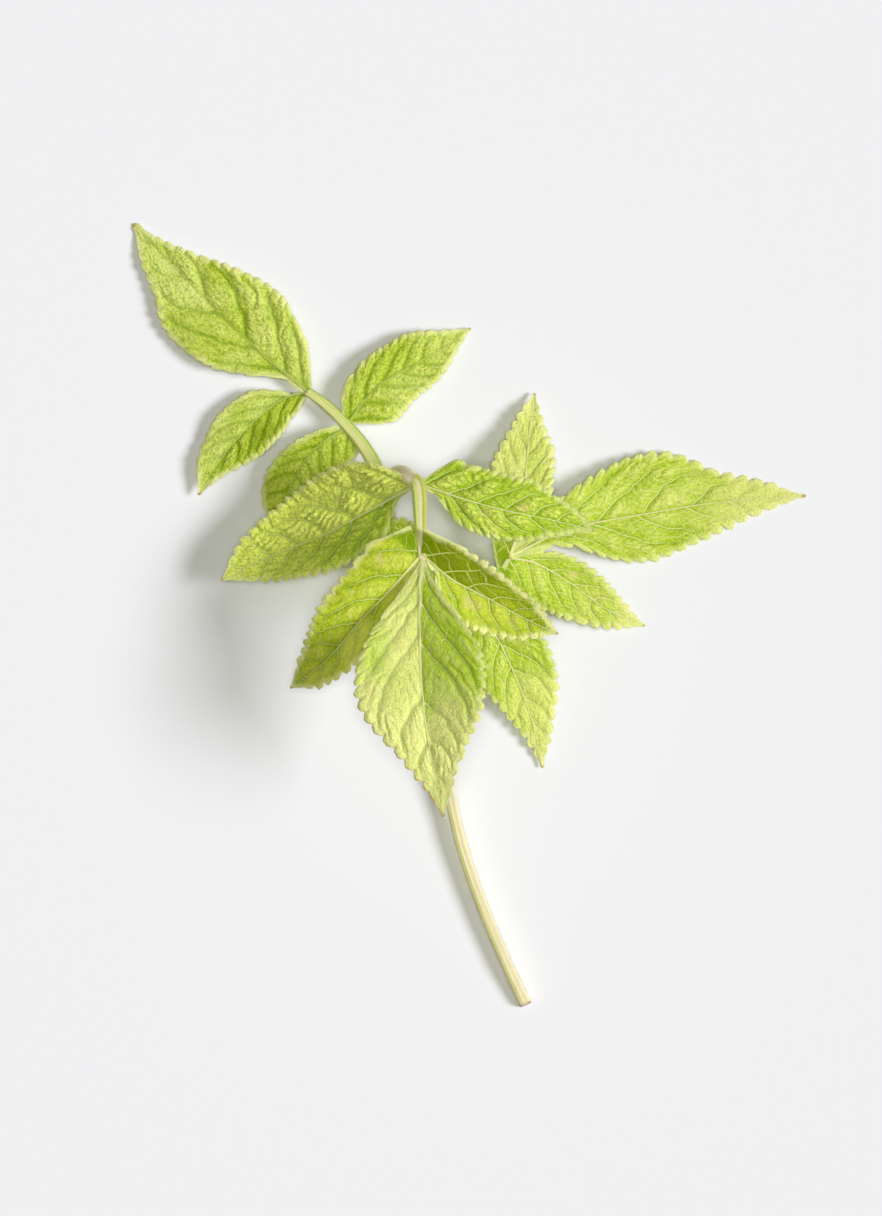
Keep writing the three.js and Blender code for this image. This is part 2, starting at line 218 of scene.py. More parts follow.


# Living sage leaf, a waxy skin under a nap of fine hairs. It looks matt and velvety and glows where
# light comes through. Its creases carry painted shade and the tops of its puckers painted
# highlight.
def sageLeafMaterial(name, look):
    finish = leafFinish
    material, tree = newMaterial(name)
    keys = ("edges", "sideVein", "rung", "form", "marks")
    edges, sideVein, rung, form, marks = readValues(tree, keys)
    ribRatio, marginDistance, _ = edges
    height, wall, under = form
    blotch, scorch, toneAndLight = marks

    spot = addNode(tree, "TexCoord").outputs["Object"]
    sizes = ("cellSize", "napSize", "cloudSize")
    perCell, perNap, perCloud = (1 / (finish[key] * mm) for key in sizes)
    pebble = addNode(tree, "TexVoronoi", {"Vector": spot, "Scale": perCell})
    nap = addNode(tree, "TexNoise", {"Vector": spot, "Scale": perNap, "Detail": 3.0})
    cloud = addNode(tree, "TexNoise", {"Vector": spot, "Scale": perCloud, "Detail": 4.0})

    # the lines of the side veins and cross veins, and painted shade in the broader grooves they lie
    # in
    lines, grooveShades = {}, {}
    for key, (phase, widths, here) in (("sideVein", sideVein), ("rung", rung)):
        far = addNode(tree, "Math", {0: phase, 1: 0.5}, operation="PINGPONG")
        far = addNode(tree, "Math", {0: far, 1: widths}, operation="MULTIPLY")
        for drawn, outer, inner in ((lines, 1.25, 0.45), (grooveShades, look["grooveReach"], 0.8)):
            reach = {"Value": far, "From Min": outer, "From Max": inner}
            line = addNode(tree, "MapRange", reach, interpolation_type="SMOOTHSTEP")
            drawn[key] = addNode(tree, "Math", {0: line, 1: here}, operation="MULTIPLY")

    # the relief's height with the nap, which sets where painted shade and painted highlight go
    reliefShading = addNode(tree, "Math", {0: nap, 1: 0.45, 2: height}, operation="MULTIPLY_ADD")
    ragged = addNode(tree, "Math", {0: cloud, 1: -2.2, 2: marginDistance}, operation="MULTIPLY_ADD")
    patchy = addNode(tree, "Math", {0: cloud, 1: 1.6, 2: blotch}, operation="MULTIPLY_ADD")
    layers = (
        # low in the relief is painted shade; higher up the blade's own colour, and painted
        # highlight on top
        (reliefShading, 0.22, 0.72, 1.0, look["blade"]),
        (reliefShading, 0.7, 1.2, 0.85, look["crestHighlight"]),
        # painted shade along the walls of the finest net
        (wall, 0.2, 0.02, look["net"], look["creaseShade"]),
        # each half's tone: partly the leaflet's own paleness, partly painted light and painted
        # shade
        (toneAndLight, 0, 1, 0.9, look["pale"]),
        (nap, 0.5, 0.62, look["nap"], finish["nap"]),
        # painted shade between the tiny pebbled cells
        (pebble, 0.5, 0.8, look["pebble"], look["creaseShade"]),
        # painted shade where a half's tone runs below 0
        (toneAndLight, 0.0, -1.0, 0.9, finish["paintedShadeOlive"]),
        # painted shade in the grooves of the cross veins, the side veins and beside the midrib
        (grooveShades["rung"], 0, 1, look["groove"] * 0.5, look["creaseShade"]),
        (grooveShades["sideVein"], 0, 1, look["groove"], look["creaseShade"]),
        (ribRatio, 2.4, 1.2, look["groove"], look["creaseShade"]),
        (ragged, 0.4, -1.0, look["margin"], finish["margin"]),
        (patchy, 1.0, 1.9, 0.75, finish["blotch"]),
        (lines["rung"], 0, 1, look["rungs"], finish["vein"]),
        (lines["sideVein"], 0, 1, look["veins"], finish["vein"]),
        (ribRatio, 1.3, 0.75, look["rib"], finish["rib"]),
        (scorch, 0, 1, 0.85, finish["scorch"]),
        (under, 0, 1, 0.7, finish["underside"]),
    )

    grain = addNode(tree, "Math", {0: pebble, 1: -0.7, 2: nap}, operation="MULTIPLY_ADD")
    bump = addNode(tree, "Bump", {"Strength": 0.8, "Distance": 0.22 * mm, "Height": grain})
    dulled = {"Value": nap, "From Min": 0.3, "From Max": 0.7, "To Min": 0.5, "To Max": 0.7}
    matt = addNode(tree, "MapRange", dulled)
    skin = {
        "Base Color": paintLayers(tree, look["creaseShade"], layers),
        "Roughness": matt,
        "Specular IOR Level": 0.06,
        "Subsurface Weight": 0.8,
        "Subsurface Radius": (1.0, 1.0, 0.15),
        "Subsurface Scale": 0.22 * mm,
        "Normal": bump,
    }
    addNode(tree, "OutputMaterial", {0: addNode(tree, "BsdfPrincipled", skin)})
    return material


stemFinish = dict(
    skin="#F2ECB8",
    green="#B9BC4A",  # the flutes and the side away from the light
    beige="#EFE4B8",
    mauve="#F3E6C6",
    flange="#A3BE34",
    pith="#F1E7D0",
    cutRim="#B07A62",
    sheen="#FBF8E6",
    streakWidth=0.3,  # mm, the fine ribs that run along the skin
    fuzzSize=0.35,  # mm between the specks of its nap
)


# Young herb stem: juicy green tissue under a thin ribbed skin with soft hairs. It looks pale,
# matt and slightly see-through, with fine streaks along it.
def herbStemMaterial(name, look):
    finish = stemFinish
    material, tree = newMaterial(name)
    place, marks, tints = readValues(tree, ("place", "marks", "tints"))
    along, around, below = place
    ridge, flange, cut = marks
    mauve, fluteAndShade, _ = tints
    spot = addNode(tree, "TexCoord").outputs["Object"]
    down = addNode(tree, "Math", {0: along, 1: 0.12}, operation="MULTIPLY")
    across = addNode(tree, "Math", {0: around, 1: 1 / finish["streakWidth"]}, operation="MULTIPLY")
    stretched = addNode(tree, "CombineXYZ", {0: down, 1: across})
    streak = addNode(tree, "TexNoise", {"Vector": stretched, "Scale": 1.0, "Detail": 4.0})
    perSpeck = 1 / (finish["fuzzSize"] * mm)
    fuzz = addNode(tree, "TexNoise", {"Vector": spot, "Scale": perSpeck, "Detail": 3.0})
    patchy = addNode(tree, "Math", {0: fuzz, 1: 0.5, 2: ridge}, operation="MULTIPLY_ADD")
    layers = (
        (streak, 0.4, 0.7, 0.5, look["shade"]),
        (below, 0, 1, 0.6, look["shade"]),
        # the flutes' green; on the main stem also painted shade on its side away from the light
        (fluteAndShade, 0, 1, 0.75, finish["green"]),
        (patchy, 0.35, 1.0, 0.95, finish["beige"]),
        (flange, 0, 1, 0.9, finish["flange"]),
        (mauve, 0, 1, 0.9, finish["mauve"]),
        (fuzz, 0.55, 0.7, 0.35, finish["skin"]),
        (cut, 0.15, 0.6, 1.0, finish["cutRim"]),
        (cut, 0.8, 1.0, 1.0, finish["pith"]),
    )
    height = addNode(tree, "Math", {0: fuzz, 1: 0.5, 2: streak}, operation="MULTIPLY_ADD")
    bump = addNode(tree, "Bump", {"Strength": 0.5, "Distance": 0.1 * mm, "Height": height})
    skin = {
        "Base Color": paintLayers(tree, look["skin"], layers),
        "Roughness": 0.62,
        "Specular IOR Level": 0.3,
        "Subsurface Weight": 0.3,
        "Subsurface Radius": (1.0, 0.9, 0.4),
        "Subsurface Scale": 0.7 * mm,
        "Sheen Weight": 0.15,
        "Sheen Roughness": 0.4,
        "Sheen Tint": finish["sheen"],
        "Normal": bump,
    }
    addNode(tree, "OutputMaterial", {0: addNode(tree, "BsdfPrincipled", skin)})
    return material


hairForm = dict(
    root="#E9E6B8",
    tip="#FBFAEE",
    width=0.045,  # mm at the root; real ones are half that, too thin to draw
    fringe=[0.25, 0.35],  # mm, the shortest on a margin, and how much more the longest has
    stem=[0.35, 0.6],  # the same on a stem
    lift=0.25,  # how much those on a margin point up, and those on a stem forward
    jitter=0.5,  # how much they stray from that
)


# Plant hair, a dry hollow thread: pale and half clear, so that it reads as a soft halo.
def plantHairMaterial():
    material, tree = newMaterial("plantHair")
    along = addNode(tree, "Attribute", attribute_name="along").outputs["Fac"]
    blend = {"Factor": along, "A": hairForm["root"], "B": hairForm["tip"]}
    skin = {
        "Base Color": addNode(tree, "Mix", blend, data_type="RGBA"),
        "Roughness": 0.5,
        "Specular IOR Level": 0.3,
        "Subsurface Weight": 0.5,
        "Subsurface Radius": (1.0, 1.0, 0.8),
        "Subsurface Scale": 0.1 * mm,
    }
    addNode(tree, "OutputMaterial", {0: addNode(tree, "BsdfPrincipled", skin)})
    return material


hairMaterial = plantHairMaterial()


# Short closed spikes, three-sided, one at each root and pointing along its direction.
def makeHairs(name, roots, directions, lengths):
    roots = np.asarray(roots, float)
    directions = unit(np.asarray(directions, float))
    aside = unit(np.cross(directions, np.array([0.31, 0.47, 0.83])))
    over = np.cross(directions, aside)
    points = [roots + directions * np.asarray(lengths)[:, None]]
    for turn in range(3):
        angle = turn * 2 * math.pi / 3
        reach = aside * math.cos(angle) + over * math.sin(angle)
        points.append(roots - directions * 0.03 + reach * hairForm["width"] / 2)
    points = np.stack(points, 1).reshape(-1, 3)
    points[:, 2] = np.maximum(points[:, 2], 0.01)
    start = np.arange(len(roots))[:, None] * 4
    spike = ([0, 1, 2], [0, 2, 3], [0, 3, 1], [1, 3, 2])
    faces = np.concatenate([start + np.array(face) for face in spike])
    along = np.tile([1.0, 0.0, 0.0, 0.0], len(roots))
    makePiece(name, points, faces, {"along": along}, hairMaterial)


bladeForm = dict(
    thickness=0.42,  # mm
    edgeThickness=0.22,
    edgeReach=1.2,  # mm in from the edge, where it starts to thin
    leastHalfWidth=0.12,
    rowsPerTooth=10,
    columnWidth=0.27,  # mm between two columns of points on the broadest part
    columnSqueeze=0.22,  # how much closer they are beside the midrib
    toothLean=0.16,  # how far a row runs forward to the edge, as a share of the midrib
    toothPeak=0.62,  # how far along a tooth its furthest point is
    toothWander=0.16,  # how far it strays from its even place, in teeth
    toothSizes=[0.6, 0.65],  # the smallest, and how much more the largest has
    toothHook=0.3,  # how far it leans forward, as a share of its depth
    smallTeeth=[2.5, 0.09],  # how many there are on each tooth, and how large
    waveLength=6.5,  # mm from one gentle wave of its edge to the next
    waveHeight=0.5,
    warpLengths=[3.6, 1.6],  # mm across the broad and the fine wander of its veins
    # where a side vein's branches start and end across the half, and how far they get from it
    branches=[[0.2, 0.85, 0.6], [0.5, 1.05, 0.32]],
    pleatHeight=0.62,  # mm that the blade rises between two side veins
    cellHeight=0.46,  # mm that each cell between cross veins stands up in the middle
    netHeight=0.24,
    toothHeight=0.42,
    netSize=1.05,  # mm across one cell of the finest net
    sunk=0.45,  # the share of the relief that lies below the blade's own middle
    sideWidth=[0.19, 0.11],  # half a side vein's width in mm, at the midrib and at the edge
    ribHeight=0.2,  # mm that the midrib stands out above, and then it and side veins below
    ribBelow=0.75,
    veinBelow=0.22,
)

# Where side veins leave the midrib of most leaflets. The first and last few only fill the corners.
veinStarts = [-0.6, -0.02, 0.17, 0.35, 0.51, 0.66, 0.79, 0.91, 1.02, 1.15]

# What a leaflet has where it says nothing else.
plainLeaflet = dict(
    toothDepth=1.2,  # mm on a broad leaflet
    toothedFrom=0.12,  # the share of the midrib at which its teeth are full
    tipRadius=0.4,  # mm
    heel=[0, 0],  # mm that the blade's corner reaches back past its base
    tuck=0.012,  # the share of its length that runs back under its stalk
    quilt=0.5,  # how clearly cross veins part it into cells
    cellLength=2.9,  # mm from one cross vein to the next
    netShare=1,  # how strong the finest net's relief is
    ribWidths=[0.28, 0.15, 0.07],  # half the midrib's width in mm at three places along it
    veinReach=0.52,  # how far a side vein runs forward to the edge, as a share of what is left
    leftVeins=veinStarts,
    rightVeins=veinStarts,
    veinOffset=0.02,  # how much lower those on the right start, so that none are opposite
    singed=[0, 0],  # how brown its tooth ends are
    blotches=[],  # each is [along, across, radius in mm, strength]
)

# Each leaflet has a midrib through five points from base to tip. left and right are its half-widths
# at nine even places along it, seen from the base, and teeth is the count on each side. A value
# for each half is [left, right]: rise is its slope beside the midrib, bend is how far its edge then
# lifts (or, below 0, drops), and pucker is how strong its relief is. Its tones go from 1 or more
# where it is palest to -1 where it is darkest, at the base, middle and tip of each half; they are
# partly its own paleness and partly painted light and painted shade for how light falls on it.
leaflets = dict(
    front_leaf_end=dict(
        rib=[[-9.9, 11.3, 31.4], [-10.3, -0.1, 34.9], [-10, -13.6, 38.4], [-8.4, -27.9, 41.6],
             [-5.3, -43.1, 44.2]],
        left=[0.5, 3.6, 7.9, 12.2, 13.3, 12.1, 8.3, 3.8, 0],
        right=[0.5, 3.8, 8.1, 12.2, 14.2, 12.6, 7.3, 2.8, 0],
        look="front", teeth=19, toothedFrom=0.5, tuck=0.05, rise=[0.58, 0.05], bend=[-1.4, -1.6],
        pucker=[0.72, 0.75], quilt=0.6, netShare=0.35, ribWidths=[0.55, 0.26, 0.09], veinReach=0.62,
        leftVeins=[-0.6, 0.0, 0.186, 0.364, 0.593, 0.725, 0.86, 1.0, 1.15],
        rightVeins=[-0.6, 0.0, 0.163, 0.32, 0.58, 0.74, 0.88, 1.0, 1.15], veinOffset=0,
        tonesAndLight=[[0.25, 0.1, 1.9], [0.7, 0.6, 2.8]], singed=[0.2, 1],
        blotches=[[0.24, 0.5, 2.2, 0.25], [0.37, -0.35, 2.6, 0.6], [0.4, 0.2, 1.6, 0.4],
                  [0.42, 0.75, 1.8, 0.35], [0.52, -0.8, 2.2, 0.5], [0.68, 0.3, 1.6, 0.35],
                  [0.6, 0.6, 1.8, 0.2]],
    ),
    front_leaf_side_left=dict(
        rib=[[-10.5, 12.5, 31], [-16.4, 5.8, 30.6], [-23.9, -2.1, 29.5], [-30.6, -9.8, 24.5],
             [-38.6, -16, 14.5]],
        left=[0.3, 1.2, 4.2, 6, 6, 5.3, 4.5, 3.2, 0],
        right=[7.6, 9.6, 9.6, 9.2, 8.9, 7.9, 6.2, 3.6, 0],
        look="side", teeth=16, heel=[0, 3.2], tuck=0.035, rise=[0.02, 0.3], bend=[-0.6, -1.6],
        pucker=[0.7, 0.75], quilt=0.6, ribWidths=[0.26, 0.15, 0.07],
        tonesAndLight=[[0.5, 0.5, 0.3], [0.1, -0.1, 0]], singed=[0.1, 0.1],
        blotches=[[0.17, -0.6, 1.9, 0.8], [0.5, -0.8, 1.8, 0.35]],
    ),
    front_leaf_side_right=dict(
        rib=[[-9.3, 12.4, 31.2], [-3.4, 7.6, 29.5], [4.6, 3.4, 28.5], [12.2, -0.8, 28.5],
             [19.4, -4.1, 29.5]],
        left=[5.6, 6.6, 6.8, 6.5, 5.6, 4.8, 4.1, 2.3, 0],
        right=[0.3, 1.4, 4.6, 7, 7.2, 6.3, 4.7, 2.5, 0],
        look="side", teeth=14, heel=[3.4, 0], tuck=0.035, rise=[0.42, 0.1], bend=[-0.3, 0.3],
        pucker=[0.45, 0.9], quilt=0.4, ribWidths=[0.26, 0.15, 0.07],
        # its left half is painted darker at the base as painted shade
        tonesAndLight=[[-1.5, -0.6, -0.2], [0, 0.2, 0.1]], singed=[0.3, 0.1],
        blotches=[[0.42, -0.35, 2.6, 0.55], [0.55, 0.3, 2.2, 0.4], [0.7, -0.3, 2, 0.4]],
    ),
    front_leaf_pair_left=dict(
        rib=[[-11.4, 28, 29], [-20.9, 22.8, 21.5], [-31.2, 17.4, 14.5], [-42.1, 13.1, 11.2],
             [-53.8, 7.5, 10.4]],
        left=[0.3, 1.3, 6.2, 7, 7.8, 7, 5.8, 3.1, 0],
        right=[1.4, 8.2, 11.4, 12.1, 11.5, 9.9, 7.9, 5, 0],
        look="pair", teeth=18, rise=[0.12, 0.2], bend=[-1, -1.8], pucker=[1.2, 1.3], quilt=1.3,
        cellLength=2, netShare=0.6, ribWidths=[0.3, 0.16, 0.07],
        tonesAndLight=[[-0.4, 0.5, 1.3], [0.8, 1.3, 1.1]], singed=[0.1, 0.1],
        blotches=[[0.55, -0.2, 1.6, 0.35]],
    ),
    front_leaf_pair_right=dict(
        rib=[[-10.2, 28.1, 29.4], [-1.5, 25.1, 30.5], [7.5, 22.6, 31], [17.5, 20.5, 30],
             [27.2, 18.2, 28]],
        left=[0.9, 6.9, 7.4, 7.6, 7.4, 7.3, 5.1, 3.2, 0],
        right=[0.3, 1.6, 5, 6.2, 6.4, 5.7, 3.8, 1.8, 0],
        look="pair", teeth=16, toothDepth=0.8, rise=[0.2, 0.2], bend=[-1.2, -1.2],
        pucker=[1.1, 1.1], quilt=1.5, cellLength=2, netShare=0.7, ribWidths=[0.28, 0.14, 0.07],
        tonesAndLight=[[0.2, 0.1, 0.1], [0.2, 0.3, 0.1]], singed=[0.1, 0.1],
        blotches=[[0.6, 0.15, 1.6, 0.6], [0.4, -0.2, 1.6, 0.5]],
    ),
    left_leaf_end=dict(
        rib=[[-35.4, 49.2, 3.6], [-44.6, 56.6, 3.4], [-54.1, 65.6, 2.9], [-63.8, 75.6, 2],
             [-73.5, 85.9, 0.4]],
        left=[0.3, 1.2, 5.4, 9.4, 11.1, 10.8, 7.2, 4.2, 0],
        right=[1.8, 8, 10.6, 12.4, 11.4, 8.7, 5.2, 2.2, 0],
        look="left", teeth=19, toothDepth=0.6, tipRadius=0.95, rise=[0.16, 0.22], bend=[-1.3, -2],
        pucker=[0.95, 1], ribWidths=[0.3, 0.14, 0.07], veinReach=0.62,
        leftVeins=[-0.6, -0.06, 0.1, 0.3, 0.52, 0.72, 0.9, 1.05],
        rightVeins=[-0.6, -0.03, 0.12, 0.36, 0.6, 0.8, 0.95, 1.1], veinOffset=0,
        tonesAndLight=[[0.4, 0.4, 0.9], [0.5, 0.2, 0.6]],
        blotches=[[0.37, -0.25, 0.9, 0.5]],
    ),
    left_leaf_side=dict(
        rib=[[-36, 48.7, 3.1], [-41.3, 46.9, 2.9], [-47.1, 42.1, 3.4], [-53, 35.6, 3.3],
             [-59.1, 26.3, 2.4]],
        left=[1.2, 4, 4.8, 6, 6.4, 6.2, 4.6, 2, 0],
        right=[0.2, 0.5, 2.8, 5.6, 6.5, 6.7, 5.6, 3.8, 0],
        look="left", teeth=14, toothDepth=0.6, rise=[0.25, 0.15], bend=[-0.9, -1.2], pucker=[1, 1],
        ribWidths=[0.28, 0.14, 0.07], veinReach=0.6, tonesAndLight=[[-0.4, -0.3, 0], [0.3, 0.5, 0.5]],
    ),
    left_leaf_pair_upper=dict(
        rib=[[-26, 42.4, 4.8], [-20.9, 49.1, 4.8], [-14.4, 53.5, 4], [-6.9, 57.6, 2.6],
             [0.7, 62.9, 1.1]],
        left=[1.8, 4.9, 5.9, 6.6, 6.7, 6.7, 5.4, 2.6, 0],
        right=[0.8, 7, 8.4, 7.8, 6.6, 6, 4.3, 1.9, 0],
        look="left", teeth=14, toothDepth=0.6, rise=[0.2, 0.2], bend=[-1, -1.3], pucker=[1.05, 1],
        ribWidths=[0.26, 0.14, 0.07], tonesAndLight=[[0.1, 0.2, 0.7], [0.3, 0.4, 0.8]],
    ),
    left_leaf_pair_lower=dict(
        rib=[[-26.6, 40.9, 4.5], [-31.2, 38.3, 4.8], [-35.6, 33.9, 4.8], [-38.9, 27.9, 4.2],
             [-42.9, 19, 2.8]],
        left=[6, 7.2, 7.4, 7.4, 7.1, 6.2, 4.8, 2.7, 0],
        right=[0.6, 1.7, 2.6, 3.7, 4.9, 5.8, 6, 4.6, 0],
        look="left", teeth=12, toothDepth=0.6, heel=[2, 0], rise=[0.1, 0.2], bend=[-1, -1.4],
        pucker=[0.9, 0.9], ribWidths=[0.28, 0.14, 0.07], tonesAndLight=[[0.2, 0.2, 0.2], [0, 0, 0]],
    ),
    right_leaf_end=dict(
        rib=[[10.6, 13.4, 8.6], [22, 18.7, 5.6], [37.9, 21.9, 2.2], [55.9, 24.8, 0.35],
             [74.4, 26.1, 0.35]],
        left=[1.2, 2.5, 6.7, 10.1, 12.8, 11.8, 6.3, 3.5, 0],
        right=[1, 1.9, 4, 8.2, 10.2, 8.5, 5.9, 2.6, 0],
        look="right", teeth=20, tuck=0.03, rise=[0.05, 0.04], bend=[0.1, 0.2], pucker=[0.85, 0.8],
        quilt=0.9, cellLength=1.8, ribWidths=[0.3, 0.17, 0.07], tonesAndLight=[[-0.1, -0.1, 1], [0, 0, 1]],
    ),
    right_leaf_side_lower=dict(
        rib=[[9.8, 12.4, 6.8], [15.2, 11.1, 5.7], [22.7, 6.8, 4.6], [30.4, 1.2, 3],
             [39, -2.5, 1.3]],
        left=[0.6, 2, 3.2, 4.5, 5.2, 4.9, 4.1, 2, 0],
        right=[5.6, 7.4, 8, 8.2, 7.8, 6.4, 4.2, 2.2, 0],
        look="right", teeth=14, heel=[0, 4.5], tuck=0.03, rise=[0.2, 0.16], bend=[-0.5, -1.4],
        pucker=[0.7, 0.75], tonesAndLight=[[0, 0.1, 0.9], [0, 0, 0.9]], singed=[0.1, 0.1],
        blotches=[[0.5, 0.35, 1.5, 0.6], [0.66, 0.2, 2, 0.65], [0.6, -0.15, 1.3, 0.4]],
    ),
    right_leaf_side_upper=dict(
        rib=[[9.5, 13.5, 9.4], [11.7, 20.9, 10.2], [12.6, 30.1, 8], [13.5, 39.6, 4.2],
             [14.7, 48.6, 1.5]],
        left=[4.2, 6.3, 7.3, 8, 7.8, 6.5, 4.3, 2.4, 0],
        right=[0.3, 1.6, 4.8, 5.8, 6, 5.9, 4.1, 1.8, 0],
        look="right", teeth=14, heel=[4.4, 0], tuck=0.03, rise=[0.18, 0.2], bend=[-0.8, -1],
        pucker=[0.9, 0.9], quilt=0.6, tonesAndLight=[[-0.5, 0.8, 0.7], [0.7, 0.8, 0.8]],
    ),
    right_leaf_pair_lower=dict(
        rib=[[0.1, 3.4, 6.8], [5.6, -3.8, 5.9], [9.7, -11.7, 4.4], [13.9, -22.5, 2.6],
             [16.5, -33.7, 1.2]],
        left=[0.8, 4.2, 7.2, 8.6, 9, 8.1, 5.3, 2.5, 0],
        right=[0.6, 3.8, 6.6, 8, 7.8, 6.3, 4, 1.6, 0],
        look="right", teeth=16, rise=[0.2, 0.16], bend=[-1.2, -1], pucker=[0.8, 0.75],
        tonesAndLight=[[0, 0.2, 0.9], [0, 0.1, 0.8]],
    ),
    right_leaf_pair_upper=dict(
        rib=[[-0.8, 3.8, 6.9], [-5.8, 8.7, 7.9], [-11.5, 12.8, 8.4], [-16.6, 16.3, 8.6],
             [-21.8, 19.8, 8.4]],
        left=[0.6, 3.2, 5.2, 6, 6.2, 5.6, 4.4, 2.4, 0],
        right=[0.4, 1.5, 2.4, 3.2, 4.2, 5.4, 5.4, 3, 0],
        look="right", teeth=12, rise=[0.15, 0.15], bend=[-0.8, -0.8], pucker=[0.8, 0.8],
        tonesAndLight=[[0, 0, 0], [0, 0, 0]],
    ),
)

# How leaves differ. The first three colours are those of their grooves, blades and the tops of
# their
# puckers: painted shade in the creases, the blade's own colour, and painted highlight on the tops.
# pale is what their palest parts turn to, partly their own paleness and partly painted light.
# grooveReach is how far a groove's painted shade reaches, in half-widths of its vein. The rest say
# how strongly the finest net, margins, specks, cell walls, grooves, side veins, cross veins and
# midrib show, from 0 to 1; the finest net, cell walls and grooves show as painted shade.
leafLooks = dict(
    front=dict(
        creaseShade="#92B608", blade="#C6E03C", crestHighlight="#E2F080", pale="#F8F9A8",
        net=0.16, margin=0.7, nap=0.06, pebble=0.25, groove=0.36, grooveReach=2.2,
        veins=1.0, rungs=0.7, rib=1.0,
    ),
    side=dict(
        creaseShade="#86A400", blade="#C6D538", crestHighlight="#E2E868", pale="#E8EA6C",
        net=0.25, margin=0.9, nap=0.1, pebble=0.15, groove=0.35, grooveReach=2.6,
        veins=0.7, rungs=0.4, rib=1.0,
    ),
    pair=dict(
        creaseShade="#8AB008", blade="#C4D942", crestHighlight="#EAF07A", pale="#ECF27A",
        net=0.5, margin=0.6, nap=0.1, pebble=0.6, groove=0.55, grooveReach=3.2,
        veins=0.8, rungs=0.3, rib=1.0,
    ),
    left=dict(
        creaseShade="#8AA804", blade="#CAD950", crestHighlight="#E4E984", pale="#E4EC90",
        net=0.4, margin=0.75, nap=0.45, pebble=0.5, groove=0.26, grooveReach=2.6,
        veins=0.04, rungs=0.0, rib=0.3,
    ),
    right=dict(
        creaseShade="#8EAE06", blade="#C6D94C", crestHighlight="#E4EA86", pale="#EEF094",
        net=0.38, margin=0.65, nap=0.3, pebble=0.3, groove=0.14, grooveReach=2.8,
        veins=0.85, rungs=0.6, rib=1.0,
    ),
)


# The blade's middle surface at places u along the midrib and x millimetres to its left.
def bladeMiddle(leaf, u, x):
    point = through(leaf["rib"], u)
    ahead = heading(leaf["rib"], u)
    left = unit(np.stack([-ahead[..., 1], ahead[..., 0], np.zeros_like(x)], -1))
    out = np.abs(x)
    onLeft = x > 0
    rise = np.where(onLeft, *leaf["rise"])
    leftBend, rightBend = leaf["bend"]
    bend = np.where(onLeft, leftBend / max(leaf["left"]) ** 2, rightBend / max(leaf["right"]) ** 2)
    point = point + left * x[..., None]
    point[..., 2] += rise * (np.sqrt(out * out + 0.09) - 0.3) + bend * out * out
    return point


# The place on the midrib that the side vein through each point starts from.
def veinStart(u, share, reach):
    low, high = np.full(u.shape, -0.8), np.full(u.shape, 1.4)
    curve = 0.6 * share + 0.4 * share * share
    for _ in range(22):
        middle = (low + high) / 2
        forward = reach * (0.5 + 0.5 * smooth(middle, -0.05, 0.35)) * np.maximum(1 - middle, 0.05)
        ahead = middle + forward * curve
        low = np.where(ahead < u, middle, low)
        high = np.where(ahead < u, high, middle)
    return (low + high) / 2


# How many millimetres of the surface there are to one unit of a value on its grid of points.
def spacingOf(value, point):
    pi, pj = np.gradient(point, axis=0), np.gradient(point, axis=1)
    vi, vj = np.gradient(value, axis=0), np.gradient(value, axis=1)
    ee, ff, gg = (pi * pi).sum(-1), (pi * pj).sum(-1), (pj * pj).sum(-1)
    area = np.maximum(ee * gg - ff * ff, 1e-9)
    steep = (gg * vi * vi - 2 * ff * vi * vj + ee * vj * vj) / area
    return 1 / np.sqrt(np.maximum(steep, 1e-6))


# The grid of points over a blade. A row starts at t on the midrib, and its points lie at u along
# it, x millimetres to its left and share of the way to the edge, which has round teeth.
def toothedGrid(leaf, length, seed):
    form = bladeForm
    broadest = max(*leaf["left"], *leaf["right"])
    half = int(round(broadest / form["columnWidth"]))
    rows = leaf["teeth"] * form["rowsPerTooth"]
    t = np.linspace(-leaf["tuck"], 1, rows + 1)[:, None] + np.zeros((1, 2 * half + 1))
    step = np.linspace(-1, 1, 2 * half + 1)[None, :] + np.zeros_like(t)
    squeeze = form["columnSqueeze"]
    share = np.abs(step) * (1 - squeeze + squeeze * np.abs(step))
    side = np.sign(step)
    onLeft = side > 0

    forward = form["toothLean"] * (1 - t) * smooth(t, 0, 0.2)
    back = np.where(onLeft, *leaf["heel"]) / length * (1 - smooth(t, 0, 0.14))
    u = t + (forward - back) * share
    width = np.where(onLeft, through(leaf["left"], u), through(leaf["right"], u))
    width = np.maximum(width, form["leastHalfWidth"])
    tipRadius = leaf["tipRadius"]
    width = np.maximum(width, tipRadius * np.sqrt(np.clip((1 - t) * length / tipRadius, 0, 1)))

    depth = leaf["toothDepth"] * min(1, 0.55 + broadest / 26)  # less on a narrow leaflet
    tooth = t * leaf["teeth"] + form["toothWander"] * swell(t * 11, side + 3, seed)
    part = tooth - np.floor(tooth)
    peak = form["toothPeak"]
    fromPeak = np.where(part < peak, 1 - part / peak, (part - peak) / (1 - peak))
    lobe = np.maximum(1 - fromPeak**2, 0) ** 0.75
    least, more = form["toothSizes"]
    size = least + more * cellNumber(np.floor(tooth), side + 2, seed + 9)
    count, standing = form["smallTeeth"]
    shift = 6 * cellNumber(np.floor(tooth), side + 1, seed)
    small = standing * np.cos(2 * math.pi * count * part + shift)
    toothed = smooth(u, 0.02, leaf["toothedFrom"]) * (1 - smooth(u, 0.86, 0.99))
    outer = smooth(share, 0.72, 1.0) ** 1.3
    x = side * (share * width + depth * toothed * (size * (lobe - 0.5) + small * lobe) * outer)
    u = u + form["toothHook"] * depth / length * toothed * lobe * outer
    return u, x, share, side, width, tooth, lobe, toothed


